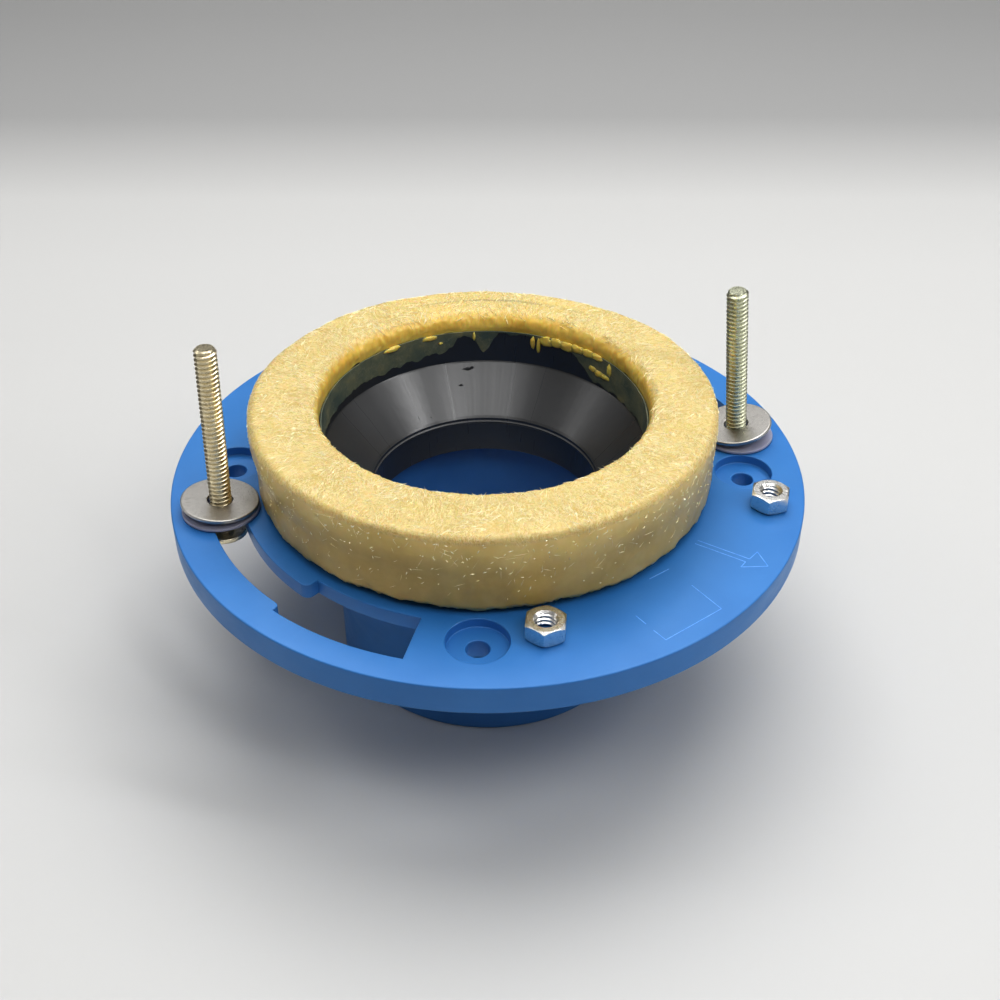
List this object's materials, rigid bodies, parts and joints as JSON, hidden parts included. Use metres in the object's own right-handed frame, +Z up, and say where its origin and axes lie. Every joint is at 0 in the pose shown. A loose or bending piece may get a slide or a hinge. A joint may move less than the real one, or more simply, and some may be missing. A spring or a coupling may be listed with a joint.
{
  "type": "toilet flange",
  "caption": "Round plastic toilet flange on a spigot hub, with wax ring and horn seal, keyhole slots, closet bolts with retainers and washers, and loose hex nuts.",
  "frame": {"origin": "centre of the hub's lower rim, on which the flange stands", "axes": "+Z up along the drain, -Y towards the viewer of the picture, the bolts lie near -X and +X"},
  "size_m": [0.178, 0.178, 0.1087],
  "materials": {
    "flange": "semi-gloss moulded blue plastic",
    "wax": "soft amber wax, satin, scratched and dented",
    "horn": "satin black polyethylene",
    "bolt_gold": "yellow plated steel with rolled thread",
    "bolt_silver": "pale plated steel with rolled thread",
    "retainer": "milky translucent polyethylene",
    "washer": "plated steel, lightly scratched",
    "nut": "bright zinc plating"
  },
  "bodies": {
    "flange": {"flange_body": "flange"},
    "seal": {"wax_ring": "wax", "horn_sleeve": "horn"},
    "bolt_left": {"closet_bolt_left": "bolt_gold"},
    "retainer_left": {"bolt_retainer_left": "retainer"},
    "washer_left": {"steel_washer_left": "washer"},
    "bolt_right": {"closet_bolt_right": "bolt_silver"},
    "retainer_right": {"bolt_retainer_right": "retainer"},
    "washer_right": {"steel_washer_right": "washer"},
    "nut_front": {"hex_nut_front": "nut"},
    "nut_right": {"hex_nut_right": "nut"}
  },
  "joints": [
    {"name": "seal_lift", "type": "slide", "parent": "flange", "child": "seal", "axis": [0, 0, 1], "range_m": [0, 0.075]},
    {"name": "bolt_left_sweep", "type": "hinge", "parent": "flange", "child": "bolt_left", "pos_m": [0, 0, 0.06], "axis": [0, 0, 1], "range_deg": [-4, 46]},
    {"name": "retainer_left_slide", "type": "slide", "parent": "bolt_left", "child": "retainer_left", "axis": [0.0156, 0.0889, 0.9959], "range_m": [0, 0.003]},
    {"name": "washer_left_slide", "type": "slide", "parent": "retainer_left", "child": "washer_left", "axis": [0.0156, 0.0889, 0.9959], "range_m": [0, 0.008]},
    {"name": "bolt_right_sweep", "type": "hinge", "parent": "flange", "child": "bolt_right", "pos_m": [0, 0, 0.06], "axis": [0, 0, 1], "range_deg": [-4, 46]},
    {"name": "retainer_right_slide", "type": "slide", "parent": "bolt_right", "child": "retainer_right", "axis": [-0.0975, -0.0295, 0.9948], "range_m": [0, 0.004]},
    {"name": "washer_right_slide", "type": "slide", "parent": "retainer_right", "child": "washer_right", "axis": [-0.0975, -0.0295, 0.9948], "range_m": [0, 0.008]},
    {"name": "nut_front_lift", "type": "slide", "parent": "flange", "child": "nut_front", "axis": [0, 0, 1], "range_m": [0, 0.06]},
    {"name": "nut_right_lift", "type": "slide", "parent": "flange", "child": "nut_right", "axis": [0, 0, 1], "range_m": [0, 0.06]}
  ]
}
